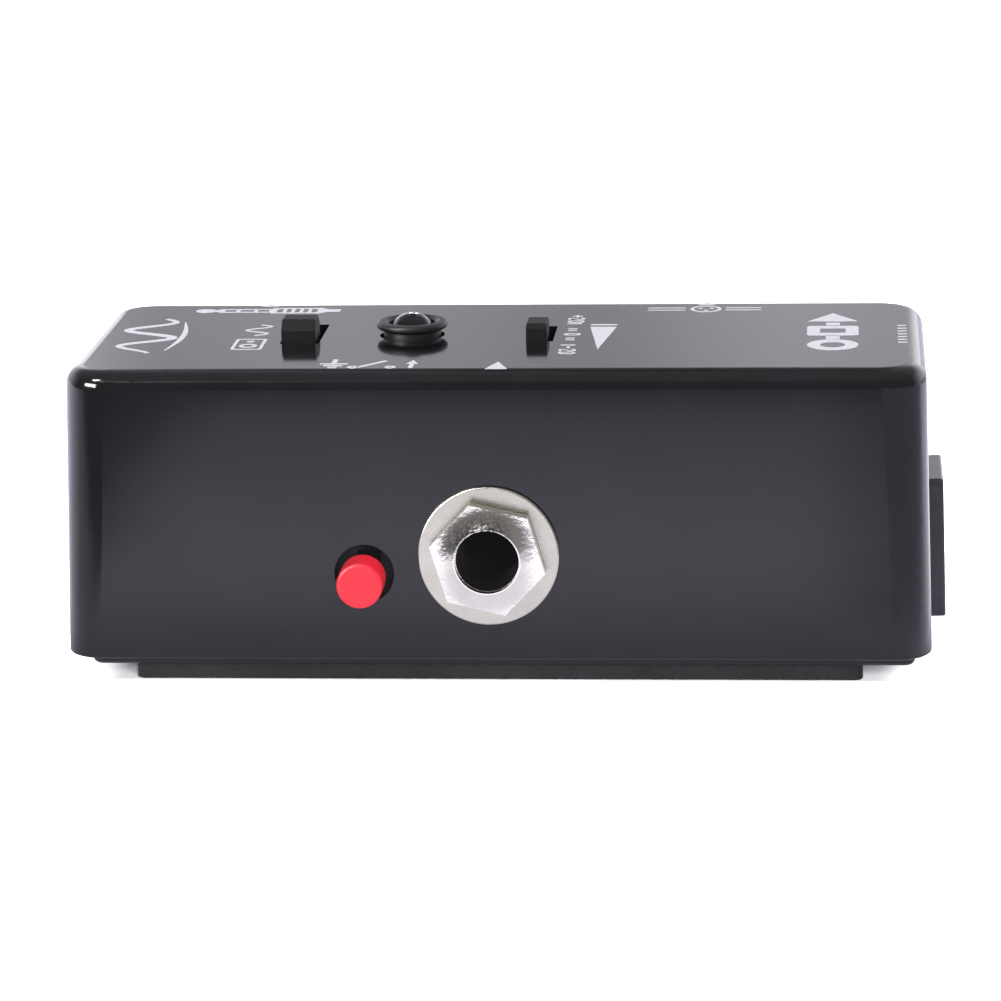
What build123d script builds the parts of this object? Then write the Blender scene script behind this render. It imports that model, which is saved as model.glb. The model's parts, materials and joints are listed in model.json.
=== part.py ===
from build123d import *
from dataclasses import dataclass
import os
from math import tan, radians, sin, cos

os.makedirs("parts", exist_ok=True)

# Direct injection box, millimetres.
# Origin: centre of the rubber pad's underside. +Z up.
# Front (-Y): input jack and ground-lift button. Back (+Y): output jack and
# balanced three-pin output. Right-hand end (+X): power socket.
# Top: two slide switches and a lamp.

# ---- Pad, base plate and enclosure ----
pad_length, pad_width, pad_thick, pad_corner_r = 78.3, 33.0, 1.8, 0.9
lid_length, lid_width, lid_thick, lid_corner_r = 88.5, 34.0, 2.2, 1.25
lid_x = 0.4                        # the plate sits a little towards the power socket
lid_gap = 0.05                     # round the plate, each side
edge_z = 3.0                       # lower edge of the enclosure
box_length, box_width, box_height = 92.95, 38.5, 31.3
box_corner_r, box_top_corner_r, top_edge_r = 4.0, 4.8, 2.0
draft_out, draft_in = 1.25, 1.0    # degrees per side
cavity_length, cavity_width, cavity_corner_r = 88.45, 34.1, 3.05
top_thick = 2.2
top_z = edge_z + box_height
roof_z = top_z - top_thick         # inner face of the top
lid_z = pad_thick                  # underside of the base plate
floor_z = lid_z + lid_thick        # inner face of the base plate

# ---- Base screws, one at each corner ----
screw_x, screw_y = 41.3, 14.0
boss_r, tap_r, tap_depth = 3.2, 1.05, 12.0
lid_hole_r, lid_sink_r = 1.4, 2.35
screw_head_r = 2.16

# ---- Circuit boards ----
main_x0, main_x1, main_half_width, main_z, main_thick = -37.0, 31.0, 14.6, 5.2, 1.6
control_x0, control_x1, control_half_width = -36.0, 8.0, 13.5
control_z, control_thick = 24.4, 1.2
main_top = main_z + main_thick
control_top = control_z + control_thick
board_corner_r = 1.0
lead_r, lead_hole_r = 0.42, 0.55
lead_tail = 0.8                    # most leads stand out this far under a board
long_tail = 0.9                    # jack and lamp leads

# ---- Quarter-inch jacks ----
in_x, out_x, jack_z = -0.4, -27.5, 14.5
panel_hole_r = 4.7
washer_r, washer_hole_r, washer_thick = 7.53, 4.75, 0.55
# terminals as (x, y) from the axis, on a jack that faces the front
tip_lead, sleeve_lead = (-5.6, 0.6), (5.6, -11.2)

# ---- Ground-lift push button ----
lift_x, lift_z = -13.75, 12.45
lift_hole_r = 3.2

# ---- Balanced connector (three-pin male) ----
xlr_x, xlr_z = 21.7, 18.65
xlr_hole_r = 10.9
xlr_screw_hole_r = 1.5
xlr_screws_at = ((10.1, 8.6), (-10.1, -8.6))   # on the back wall, from the axis
xlr_lead_pitch, xlr_lead_y = 4.35, -2.2

# ---- Power socket ----
dc_y, dc_z = 0.5, 11.63
dc_width, dc_height = 9.0, 12.6
dc_hole_gap = 0.3

# ---- Indicator lamp ----
led_x, led_y = -10.0, 0.4
led_hole_r = 3.55
led_half_pitch = 1.27

# ---- Pin header between the boards ----
header_pitch, header_pins, header_y = 2.54, 5, 9.0
header_x0 = lift_x - 3.6


def two_rows(x, y, half_gap, steps):
    """Terminals in two rows along Y, half_gap to each side of x."""
    return [(x + side * half_gap, y + step) for side in (-1, 1) for step in steps]


@dataclass
class SlideSwitch:
    name: str
    x: float               # centre of the slot
    y: float
    slot_width: float      # widths run along X, lengths along Y
    slot_length: float
    knob_x: float
    knob_width: float
    knob_length: float
    knob_height: float     # above the top panel
    knob_foot: float       # height of the upright part of each end
    knob_slant: float      # how far each end leans in above the foot
    travel: float
    frame_width: float
    frame_length: float
    leads: list

    @property
    def rest_y(self):
        """Knob centre, with the knob at the front end of its travel."""
        return self.y - self.travel / 2


slot_corner_r = 0.12
cab_x, cab_y = -21.94, 0.9
gain_x, gain_y = 4.165, 0.7
slide_switches = (
    SlideSwitch(
        name="cab", x=cab_x, y=cab_y, slot_width=4.28, slot_length=10.2,
        knob_x=-22.15, knob_width=3.7, knob_length=4.6, knob_height=2.32,
        knob_foot=1.28, knob_slant=1.0, travel=3.7, frame_width=6.4, frame_length=13.4,
        leads=two_rows(cab_x, cab_y, 2.0, (-3.7, 0.0, 3.7))),
    SlideSwitch(
        name="gain", x=gain_x, y=gain_y, slot_width=3.0, slot_length=8.0,
        knob_x=3.86, knob_width=2.25, knob_length=4.4, knob_height=1.87,
        knob_foot=1.45, knob_slant=0.5, travel=3.4, frame_width=5.2, frame_length=12.6,
        leads=two_rows(gain_x, gain_y, 1.45, (-3.9, -1.3, 1.3, 3.9))),
)

# ---- Terminal positions (x, y) ----
# the output jack is the input jack turned half a turn
jack_leads = [(jack_x + turn * x, turn * y)
              for jack_x, turn in ((in_x, 1), (out_x, -1))
              for x, y in (tip_lead, sleeve_lead)]
xlr_leads = [(xlr_x + step * xlr_lead_pitch, xlr_lead_y) for step in (-1, 0, 1)]
lift_leads = two_rows(lift_x, -8.9, 3.25, (-2.5, 0.0, 2.5))
header_leads = [(header_x0 + header_pitch * i, header_y) for i in range(header_pins)]
led_leads_at = [(led_x - led_half_pitch, led_y), (led_x + led_half_pitch, led_y)]


def outer_y(z):
    """Distance of the outer long walls from the XZ plane at height z."""
    return box_width / 2 - (z - edge_z) * tan(radians(draft_out))


def outer_x(z):
    """Distance of the outer end walls from the YZ plane at height z."""
    return box_length / 2 - (z - edge_z) * tan(radians(draft_out))


def front_plane(x, y, z):
    """Sketch plane facing -Y: local x = +X, local y = +Z."""
    return Plane(origin=(x, y, z), x_dir=(1, 0, 0), z_dir=(0, -1, 0))


def back_plane(x, y, z):
    """Sketch plane facing +Y: local x = -X, local y = +Z."""
    return Plane(origin=(x, y, z), x_dir=(-1, 0, 0), z_dir=(0, 1, 0))


def right_plane(x, y, z):
    """Sketch plane facing +X: local x = +Y, local y = +Z."""
    return Plane(origin=(x, y, z), x_dir=(0, 1, 0), z_dir=(1, 0, 0))


def save(shape, name):
    shape.label = name
    export_step(shape, f"parts/{name}.step")


# ============================================================================
# ENCLOSURE
# ============================================================================
wall_cut = 8.0                     # depth of the cuts through the side walls
wall_cut_y, wall_cut_x = 14.0, 40.5   # where those cuts start, inside the walls

with BuildPart() as enclosure_shell:
    # drafted outer casting
    with BuildSketch(Plane.XY.offset(edge_z)):
        RectangleRounded(box_length, box_width, box_corner_r)
    with BuildSketch(Plane.XY.offset(top_z)):
        RectangleRounded(2 * outer_x(top_z), 2 * outer_y(top_z), box_top_corner_r)
    loft(ruled=True)
    fillet(enclosure_shell.faces().sort_by(Axis.Z)[-1].edges(), radius=top_edge_r)
    # small radius round the lower rim
    fillet(enclosure_shell.faces().sort_by(Axis.Z)[0].edges(), radius=0.3)
    # inner cavity
    with BuildSketch(Plane.XY.offset(edge_z)):
        RectangleRounded(cavity_length, cavity_width, cavity_corner_r)
    extrude(amount=roof_z - edge_z, taper=draft_in, mode=Mode.SUBTRACT)
    # shallow seat for the base plate's squarer corners
    with BuildSketch(Plane.XY.offset(edge_z - 1)):
        with Locations((lid_x, 0)):
            RectangleRounded(lid_length + 2 * lid_gap, lid_width + 2 * lid_gap,
                             lid_corner_r + lid_gap)
    extrude(amount=1 + floor_z - edge_z, mode=Mode.SUBTRACT)
    # four corner bosses for the base screws, run a little into the top
    with BuildSketch(Plane.XY.offset(floor_z)):
        with GridLocations(2 * screw_x, 2 * screw_y, 2, 2):
            Circle(boss_r)
    extrude(amount=roof_z - floor_z + 0.4)
    with BuildSketch(Plane.XY.offset(floor_z)):
        with GridLocations(2 * screw_x, 2 * screw_y, 2, 2):
            Circle(tap_r)
    extrude(amount=tap_depth, mode=Mode.SUBTRACT)
    # front wall: jack bushing and push button
    with BuildSketch(front_plane(0, -wall_cut_y, 0)):
        with Locations((in_x, jack_z)):
            Circle(panel_hole_r)
        with Locations((lift_x, lift_z)):
            Circle(lift_hole_r)
    extrude(amount=wall_cut, mode=Mode.SUBTRACT)
    # back wall: second jack, balanced connector and its screws
    with BuildSketch(back_plane(0, wall_cut_y, 0)):
        with Locations((-out_x, jack_z)):
            Circle(panel_hole_r)
        with Locations((-xlr_x, xlr_z)):
            Circle(xlr_hole_r)
        with Locations(*[(-xlr_x + x, xlr_z + z) for x, z in xlr_screws_at]):
            Circle(xlr_screw_hole_r)
    extrude(amount=wall_cut, mode=Mode.SUBTRACT)
    # right-hand end: power socket
    with BuildSketch(right_plane(wall_cut_x, 0, 0)):
        with Locations((dc_y, dc_z)):
            RectangleRounded(dc_width + dc_hole_gap, dc_height + dc_hole_gap, 0.6)
    extrude(amount=wall_cut, mode=Mode.SUBTRACT)
    # top: two switch slots and the lamp hole
    with BuildSketch(Plane.XY.offset(roof_z - 1.0)):
        for switch in slide_switches:
            with Locations((switch.x, switch.y)):
                RectangleRounded(switch.slot_width, switch.slot_length, slot_corner_r)
        with Locations((led_x, led_y)):
            Circle(led_hole_r)
    extrude(amount=5.0, mode=Mode.SUBTRACT)
save(enclosure_shell.part, "enclosure_shell")

with BuildPart() as base_plate:
    with BuildSketch(Plane.XY.offset(lid_z)):
        with Locations((lid_x, 0)):
            RectangleRounded(lid_length, lid_width, lid_corner_r)
    extrude(amount=lid_thick)
    chamfer(base_plate.faces().sort_by(Axis.Z)[0].edges(), length=0.25)
    # countersunk holes, open downwards
    with Locations(Plane(origin=(0, 0, lid_z), x_dir=(1, 0, 0), z_dir=(0, 0, -1))):
        with GridLocations(2 * screw_x, 2 * screw_y, 2, 2):
            CounterSinkHole(radius=lid_hole_r, counter_sink_radius=lid_sink_r,
                            depth=lid_thick, counter_sink_angle=90)
save(base_plate.part, "base_plate")

# countersunk screws with a cross recess, heads down
head_z = lid_z + 0.06              # face of the head
cone_z = lid_z + 0.15              # where the head starts to narrow, at 45 degrees
shank_end_z, screw_tip_z = lid_z + 10.4, lid_z + 10.9
recess_length, recess_width, recess_depth = 2.3, 0.55, 0.85
with BuildPart() as base_screw:
    with BuildSketch(Plane.XZ):
        with BuildLine():
            Polyline(
                (0, head_z), (screw_head_r, head_z), (screw_head_r, cone_z),
                (tap_r, cone_z + screw_head_r - tap_r), (tap_r, shank_end_z),
                (tap_r - 0.35, screw_tip_z), (0, screw_tip_z), close=True)
        make_face()
    revolve(axis=Axis.Z)
    with BuildSketch(Plane.XY.offset(lid_z)):
        Rectangle(recess_length, recess_width)
        Rectangle(recess_width, recess_length)
    extrude(amount=recess_depth, taper=10, mode=Mode.SUBTRACT)
save(Compound(children=[
    base_screw.part.moved(Location((side_x * screw_x, side_y * screw_y, 0)))
    for side_x in (-1, 1) for side_y in (-1, 1)]), "base_screws")

with BuildPart() as rubber_pad:
    with BuildSketch(Plane.XY):
        RectangleRounded(pad_length, pad_width, pad_corner_r)
    extrude(amount=pad_thick)
    fillet(rubber_pad.faces().sort_by(Axis.Z)[0].edges(), radius=0.25)
save(rubber_pad.part, "rubber_pad")


# ============================================================================
# QUARTER-INCH JACKS
# Drawn for the front wall with the axis at x = 0; the output jack is turned
# to the back wall.
# ============================================================================
jack_width, jack_front, jack_length = 14.6, 16.6, 20.4   # housing front is at y = -jack_front
jack_bottom, jack_top = main_top, 21.6
plug_r = 3.7                       # clear bore through the plastic housing
bushing_r, bushing_bore_r = 4.5, 3.38
collar_r, collar_thick = bushing_r + 1.2, 1.0
bushing_seat = 3.0                 # depth of the bushing in the housing
nut_flats = 10.9                   # across the flats
nut_turn = 46.6                    # degrees, as tightened
nut_blank_r, nut_rim, nut_hub = 6.6, 1.6, 2.28   # blank radius, heights at rim and lip
nut_mouth_r, nut_thread_depth = 3.42, 1.4
nut_back_y = -(outer_y(jack_z - washer_r) + washer_thick + 0.03)
bushing_tip_y = nut_back_y - 1.35

with BuildPart() as jack_body:
    with BuildSketch(Plane.XY.offset(jack_bottom)):
        with Locations((0, -jack_front + jack_length / 2)):
            Rectangle(jack_width, jack_length)
    extrude(amount=jack_top - jack_bottom)
    chamfer(jack_body.edges().filter_by(Axis.Y).group_by(Axis.Z)[-1], length=0.8)
    # plug bore right through
    with BuildSketch(front_plane(0, -jack_front + jack_length + 1, jack_z)):
        Circle(plug_r)
    extrude(amount=jack_length + 2, mode=Mode.SUBTRACT)
    # seat for the bushing and its collar
    with BuildSketch(front_plane(0, -jack_front + bushing_seat, jack_z)):
        Circle(bushing_r)
    extrude(amount=6.0, mode=Mode.SUBTRACT)
    with BuildSketch(front_plane(0, -jack_front + collar_thick, jack_z)):
        Circle(collar_r)
    extrude(amount=4.0, mode=Mode.SUBTRACT)
    # slots from below: tip spring at -X, sleeve contact at +X
    with BuildSketch(Plane.XY.offset(jack_bottom - 1)):
        with Locations((-4.8, 0.2)):
            Rectangle(2.8, 5.2)
        with Locations((4.8, -11.2)):
            Rectangle(2.8, 4.2)
    extrude(amount=(jack_z + 2.2) - jack_bottom + 1, mode=Mode.SUBTRACT)
    # shallow recess on top of the housing
    with BuildSketch(Plane.XY.offset(jack_top - 0.3)):
        with Locations((0, -6.4)):
            RectangleRounded(8.0, 11.0, 0.8)
    extrude(amount=1.0, mode=Mode.SUBTRACT)

with BuildPart() as jack_bushing:
    # metal sleeve with a chamfered tip and a collar
    with BuildSketch(Plane.XY):
        with BuildLine():
            Polyline((bushing_bore_r, bushing_tip_y), (bushing_r - 0.35, bushing_tip_y),
                     (bushing_r, bushing_tip_y + 0.35), (bushing_r, -jack_front),
                     (collar_r, -jack_front), (collar_r, -jack_front + collar_thick),
                     (bushing_r, -jack_front + collar_thick),
                     (bushing_r, -jack_front + bushing_seat),
                     (bushing_bore_r, -jack_front + bushing_seat), close=True)
        make_face()
    revolve(axis=Axis.Y)

with BuildPart() as jack_nut:
    # turned blank whose face rises gently from the rim to a thin lip round the mouth
    with BuildSketch(Plane.XY):
        with BuildLine():
            back_line = Line((1.0, nut_back_y), (nut_blank_r, nut_back_y))
            rim_line = Line(back_line @ 1, (nut_blank_r, nut_back_y - nut_rim + 0.05))
            rise = Spline(rim_line @ 1, (5.35, nut_back_y - nut_rim - 0.005),
                          (nut_mouth_r + 0.2, nut_back_y - nut_hub + 0.03),
                          tangents=[(-1, -0.03), (-1, -0.62)])
            lip_line = Line(rise @ 1, (nut_mouth_r + 0.12, nut_back_y - nut_hub))
            hub_line = Line(lip_line @ 1, (1.0, nut_back_y - nut_hub))
            Line(hub_line @ 1, back_line @ 0)
        make_face()
    revolve(axis=Axis.Y)
    # six flats
    with BuildSketch(front_plane(0, nut_back_y + 1, 0)):
        RegularPolygon(radius=nut_flats / 2, side_count=6, major_radius=False,
                       rotation=nut_turn)
    extrude(amount=5.0, mode=Mode.INTERSECT)
    # thread, then the smaller mouth
    with BuildSketch(front_plane(0, nut_back_y + 1, 0)):
        Circle(bushing_r)
    extrude(amount=1.0 + nut_thread_depth, mode=Mode.SUBTRACT)
    with BuildSketch(front_plane(0, nut_back_y + 1, 0)):
        Circle(nut_mouth_r)
    extrude(amount=6.0, mode=Mode.SUBTRACT)

# the washer lies flat on the drafted wall
washer_plane = Plane(
    origin=(0, -(outer_y(jack_z) + 0.004), jack_z), x_dir=(1, 0, 0),
    z_dir=(0, -cos(radians(draft_out)), sin(radians(draft_out))))
with BuildPart() as jack_washer:
    with BuildSketch(washer_plane):
        Circle(washer_r)
        Circle(washer_hole_r, mode=Mode.SUBTRACT)
    extrude(amount=washer_thick)
    fillet(jack_washer.edges().filter_by(GeomType.CIRCLE).group_by(SortBy.RADIUS)[-1],
           radius=0.2)


def make_jack_contact(side, back_y, width, shoulder, lead):
    """Bent leaf with a knuckle on the plug axis, a leg and a lead through the board.

    side is -1 for -X and 1 for +X; shoulder is how far the leg's top lies below the axis.
    """
    # distance out from the axis, height
    outline = (
        (5.9, jack_bottom), (5.35, jack_bottom), (5.35, jack_z - shoulder),
        (3.95, jack_z - 0.6), (3.75, jack_z), (3.95, jack_z + 0.6), (4.9, jack_z + 1.8),
        (5.3, jack_z + 1.5), (4.5, jack_z + 0.5), (4.3, jack_z), (4.5, jack_z - 0.5),
        (5.9, jack_z - shoulder + 0.2))
    with BuildPart() as contact:
        with BuildSketch(front_plane(0, back_y, 0)):
            with BuildLine():
                Polyline(*[(side * out, z) for out, z in outline], close=True)
            make_face()
        extrude(amount=width)
        with BuildSketch(Plane.XY.offset(jack_bottom)):
            with Locations(lead):
                Circle(lead_r)
        extrude(amount=-(main_thick + long_tail))
    return contact.part


axis_lift = Location((0, 0, jack_z))   # bushing and nut are turned about the Y axis
jack_parts = {
    "jack_body": jack_body.part,
    "jack_bushing": jack_bushing.part.moved(axis_lift),
    "jack_nut": jack_nut.part.moved(axis_lift),
    "jack_washer": jack_washer.part,
    "jack_tip_spring": make_jack_contact(-1, 2.2, 3.2, 2.2, tip_lead),
    "jack_sleeve_contact": make_jack_contact(1, -10.0, 2.4, 2.0, sleeve_lead),
}
for jack_name, place in (("input", Location((in_x, 0, 0))),
                         ("output", Location((out_x, 0, 0), (0, 0, 180)))):
    for part_name, part in jack_parts.items():
        save(part.moved(place), f"{jack_name}_{part_name}")


# ============================================================================
# BALANCED THREE-PIN CONNECTOR, BACK WALL
# ============================================================================
xlr_outer_r, xlr_inner_r = 10.8, 9.65
xlr_back_y = 1.6                                    # inner end of the tube
xlr_lip_y = outer_y(xlr_z - xlr_outer_r) + 0.7      # outer end of the tube
xlr_flange_y, xlr_flange_thick = 16.5, 1.4          # outer face of the inner flange
xlr_flange_back_y = xlr_flange_y - xlr_flange_thick
xlr_thread_r = 1.15
insert_thick, insert_block_thick = 3.6, 2.6
pin_r, pin_circle_d = 1.2, 12.3
pin_back_y, pin_tip_y = -1.4, 17.4
tail_thick, pin_pad, tail_half_width = 1.2, 1.1, 0.5

with BuildPart() as xlr_shell:
    # tube through the wall
    with BuildSketch(back_plane(xlr_x, xlr_back_y, xlr_z)):
        Circle(xlr_outer_r)
    extrude(amount=xlr_lip_y - xlr_back_y)
    # screw flange behind the wall
    with BuildSketch(back_plane(xlr_x, xlr_flange_back_y, xlr_z)):
        Rectangle(25.0, 23.0)
    extrude(amount=xlr_flange_thick)
    chamfer(xlr_shell.edges().filter_by(Axis.Y), length=1.5)
    fillet(xlr_shell.faces().sort_by(Axis.Y)[-1].edges(), radius=0.35)
    # bore for the mating plug and the insert
    with BuildSketch(back_plane(xlr_x, 0.0, xlr_z)):
        Circle(xlr_inner_r)
    extrude(amount=30.0, mode=Mode.SUBTRACT)
    # slot along the top of the bore
    with BuildSketch(back_plane(xlr_x, 6.0, xlr_z)):
        with Locations((0, 9.75)):
            Rectangle(3.4, 1.4)
    extrude(amount=20.0, mode=Mode.SUBTRACT)
    # screw holes
    with BuildSketch(back_plane(xlr_x, 10.0, xlr_z)):
        with Locations(*xlr_screws_at):
            Circle(xlr_thread_r)
    extrude(amount=10.0, mode=Mode.SUBTRACT)
save(xlr_shell.part, "xlr_shell")

# pin centres on the back plane, from the axis
pins_at = [(pin_circle_d / 2 * cos(radians(angle)), pin_circle_d / 2 * sin(radians(angle)))
           for angle in (30, 150, 270)]
with BuildPart() as xlr_insert:
    with BuildSketch(back_plane(xlr_x, xlr_back_y, xlr_z)):
        Circle(xlr_inner_r - 0.02)
    extrude(amount=insert_thick)
    fillet(xlr_insert.faces().sort_by(Axis.Y)[-1].edges(), radius=0.3)
    # block on the inner side
    with BuildSketch(back_plane(xlr_x, xlr_back_y - insert_block_thick, xlr_z)):
        with Locations((0, -2.0)):
            Rectangle(13.6, 15.5)
    extrude(amount=insert_block_thick)
    # centre boss and pin holes
    with BuildSketch(back_plane(xlr_x, xlr_back_y + insert_thick, xlr_z)):
        Circle(2.3)
    extrude(amount=0.5)
    with BuildSketch(back_plane(xlr_x, -2.0, xlr_z)):
        with Locations(*pins_at):
            Circle(pin_r)
    extrude(amount=10.0, mode=Mode.SUBTRACT)
save(xlr_insert.part, "xlr_insert")

with BuildPart() as xlr_pins:
    # three round contacts with rounded tips
    with BuildSketch(back_plane(xlr_x, pin_back_y, xlr_z)):
        with Locations(*pins_at):
            Circle(pin_r)
    extrude(amount=pin_tip_y - pin_back_y)
    fillet(xlr_pins.faces().sort_by(Axis.Y)[-3:].edges(), radius=0.9)
    # flat tails on the inner side of the insert, down to the main board
    for (pin_x, pin_z), tail_x in zip(pins_at, (xlr_lead_pitch, -xlr_lead_pitch, 0.0)):
        with BuildSketch(back_plane(xlr_x, pin_back_y - tail_thick, xlr_z)):
            with BuildLine():
                Polyline((pin_x - pin_pad, pin_z + pin_pad), (pin_x + pin_pad, pin_z + pin_pad),
                         (pin_x + pin_pad, pin_z - pin_pad),
                         (tail_x + tail_half_width, pin_z - 2.6),
                         (tail_x + tail_half_width, main_top - xlr_z),
                         (tail_x - tail_half_width, main_top - xlr_z),
                         (tail_x - tail_half_width, pin_z - 2.6),
                         (pin_x - pin_pad, pin_z - pin_pad), close=True)
            make_face()
        extrude(amount=tail_thick)
    # round leads, up into the tails and down through the board
    for reach in (0.6, -(main_thick + lead_tail)):
        with BuildSketch(Plane.XY.offset(main_top)):
            with Locations(*xlr_leads):
                Circle(lead_r)
        extrude(amount=reach)
save(xlr_pins.part, "xlr_pins")

pan_head_r, pan_head_height = 2.3, 1.3
with BuildPart() as xlr_screws:
    # pan-head screws through the wall into the flange
    for screw_at in xlr_screws_at:
        seat_y = outer_y(xlr_z + screw_at[1] - 2.4) + 0.02
        with BuildSketch(back_plane(xlr_x, seat_y, xlr_z)):
            with Locations(screw_at):
                Circle(pan_head_r)
        extrude(amount=pan_head_height)
        with BuildSketch(back_plane(xlr_x, xlr_flange_back_y, xlr_z)):
            with Locations(screw_at):
                Circle(xlr_thread_r)
        extrude(amount=seat_y - xlr_flange_back_y)
    fillet(xlr_screws.faces().sort_by(Axis.Y)[-2:].edges(), radius=0.55)
    # cross recesses
    with BuildSketch(back_plane(xlr_x, 19.5, xlr_z)):
        with Locations(*xlr_screws_at):
            Rectangle(2.2, 0.5)
            Rectangle(0.5, 2.2)
    extrude(amount=4.0, mode=Mode.SUBTRACT)
save(xlr_screws.part, "xlr_screws")


# ============================================================================
# POWER SOCKET, RIGHT-HAND END
# ============================================================================
bezel_width, bezel_height, bezel_thick = 12.2, 15.44, 1.7
dc_bore_r, dc_pin_r = 3.1, 1.05
dc_back_x = 33.0                   # inner end of the housing
dc_face_x = outer_x(dc_z) + 0.01   # outer face of the wall
dc_wall = Plane(origin=(dc_face_x, dc_y, dc_z), x_dir=(0, 1, 0),
                z_dir=(cos(radians(draft_out)), 0, sin(radians(draft_out))))

with BuildPart() as dc_housing:
    # bezel lies on the drafted end wall
    with BuildSketch(dc_wall):
        RectangleRounded(bezel_width, bezel_height, 0.7)
    extrude(amount=bezel_thick)
    fillet(dc_housing.faces().sort_by(Axis.X)[-1].edges(), radius=0.3)
    # housing through the wall
    with BuildSketch(right_plane(dc_back_x, dc_y, dc_z)):
        RectangleRounded(dc_width, dc_height, 0.5)
    extrude(amount=dc_face_x - dc_back_x + 0.6)
    # plug bore and a shallow counterbore at the mouth
    with BuildSketch(right_plane(dc_back_x + 3.4, dc_y, dc_z)):
        Circle(dc_bore_r)
    extrude(amount=20.0, mode=Mode.SUBTRACT)
    with BuildSketch(right_plane(dc_face_x + bezel_thick - 0.75, dc_y, dc_z)):
        Circle(dc_bore_r + 0.9)
    extrude(amount=3.0, mode=Mode.SUBTRACT)
    # centre pin hole
    with BuildSketch(right_plane(dc_back_x - 1, dc_y, dc_z)):
        Circle(dc_pin_r)
    extrude(amount=6.0, mode=Mode.SUBTRACT)
    # slot for the sleeve spring, low in the housing
    with BuildSketch(right_plane(dc_back_x - 1, dc_y, dc_z)):
        with Locations((0, -4.0)):
            Rectangle(3.0, 1.8)
    extrude(amount=10.6, mode=Mode.SUBTRACT)
    # snap wedge on top of the housing
    wedge_z = dc_z + dc_height / 2 - 0.1
    wedge_width = 4.0
    with BuildSketch(Plane.XZ.offset(-dc_y - wedge_width / 2)):
        with BuildLine():
            Polyline((43.0, wedge_z), (43.0, wedge_z + 0.85), (39.6, wedge_z), close=True)
        make_face()
    extrude(amount=wedge_width)
save(dc_housing.part, "dc_housing")

with BuildPart() as dc_centre_pin:
    with BuildSketch(right_plane(dc_back_x - 0.8, dc_y, dc_z)):
        Circle(dc_pin_r)
    extrude(amount=0.8 + 12.8)
    fillet(dc_centre_pin.faces().sort_by(Axis.X)[-1].edges(), radius=0.5)
    # lug on the inner end of the housing
    with BuildSketch(right_plane(dc_back_x - 0.5, dc_y, dc_z)):
        with Locations((0, 1.4)):
            Rectangle(2.6, 5.4)
    extrude(amount=0.5)
save(dc_centre_pin.part, "dc_centre_pin")

# side outline of the spring: x from the housing's inner end, z from the leaf's underside
spring_z = dc_z - 4.7
spring_width = 2.2
spring_outline = (
    (-1.2, 0.0), (9.0, 0.0), (9.0, 0.45), (8.4, 0.45), (6.4, 1.5), (4.6, 1.5),
    (4.6, 1.1), (6.2, 1.1), (7.6, 0.4), (-0.7, 0.4), (-0.7, 2.6), (-1.2, 2.6))
with BuildPart() as dc_sleeve_spring:
    # leaf with a raised knuckle and an upturned inner end
    with BuildSketch(Plane.XZ.offset(-dc_y - spring_width / 2)):
        with BuildLine():
            Polyline(*[(dc_back_x + x, spring_z + z) for x, z in spring_outline], close=True)
        make_face()
    extrude(amount=spring_width)
save(dc_sleeve_spring.part, "dc_sleeve_spring")


# ============================================================================
# INDICATOR LAMP
# Lens and collar are turned about the Z axis, then moved into place.
# ============================================================================
led_r, led_rim_r = 2.5, 2.9
led_apex_z = top_z + 2.52
led_base_z = led_apex_z - 8.6
rim_top_z = led_base_z + 1.0
dome_z = led_apex_z - led_r        # centre of the dome
lead_frame_height = 4.6
lead_frame_widths = (1.1, 0.7)     # at -X and +X
lead_frame_thick = 0.5
collar_neck_r, collar_flange_r, collar_bore_r = 3.15, 3.88, 2.55
collar_bottom_z = led_base_z + 1.7
led_place = Location((led_x, led_y, 0))

with BuildPart() as led_lens:
    with BuildSketch(Plane.XZ):
        with BuildLine():
            Polyline((0, led_base_z), (led_rim_r, led_base_z), (led_rim_r, rim_top_z),
                     (led_r, rim_top_z), (led_r, dome_z))
            ThreePointArc((led_r, dome_z),
                          (led_r * cos(radians(45)), dome_z + led_r * sin(radians(45))),
                          (0, led_apex_z))
            Line((0, led_apex_z), (0, led_base_z))
        make_face()
    revolve(axis=Axis.Z)
    # pockets of the two lead frames
    with BuildSketch(Plane.XY.offset(led_base_z - 1)):
        for side, width in zip((-1, 1), lead_frame_widths):
            with Locations((side * led_half_pitch, 0)):
                Rectangle(width, lead_frame_thick)
    extrude(amount=1 + lead_frame_height, mode=Mode.SUBTRACT)
save(led_lens.part.moved(led_place), "led_lens")

with BuildPart() as led_leads:
    with BuildSketch(Plane.XY.offset(led_base_z)):
        for lead_at, width in zip(led_leads_at, lead_frame_widths):
            with Locations(lead_at):
                Rectangle(width, lead_frame_thick)
    extrude(amount=lead_frame_height)
    with BuildSketch(Plane.XY.offset(control_z - long_tail)):
        with Locations(*led_leads_at):
            Rectangle(0.5, 0.5)
    extrude(amount=led_base_z - control_z + long_tail)
save(led_leads.part, "led_leads")

with BuildPart() as led_collar:
    # ring above the panel, neck through the hole, slightly wider skirt inside
    with BuildSketch(Plane.XZ):
        with BuildLine():
            ring_top = Polyline((collar_bore_r, top_z + 1.4), (2.75, top_z + 1.52),
                                (3.05, top_z + 1.67), (collar_flange_r - 0.4, top_z + 1.64))
            ring_edge = ThreePointArc(ring_top @ 1, (collar_flange_r, top_z + 1.18),
                                      (collar_flange_r - 0.26, top_z + 0.82))
            Polyline(ring_edge @ 1, (collar_neck_r, top_z + 0.62),
                     (collar_neck_r, roof_z - 0.6), (collar_neck_r + 0.35, roof_z - 0.7),
                     (collar_neck_r + 0.15, collar_bottom_z),
                     (collar_bore_r, collar_bottom_z), (collar_bore_r, top_z + 1.4))
        make_face()
    revolve(axis=Axis.Z)
save(led_collar.part.moved(led_place), "led_collar")


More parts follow.
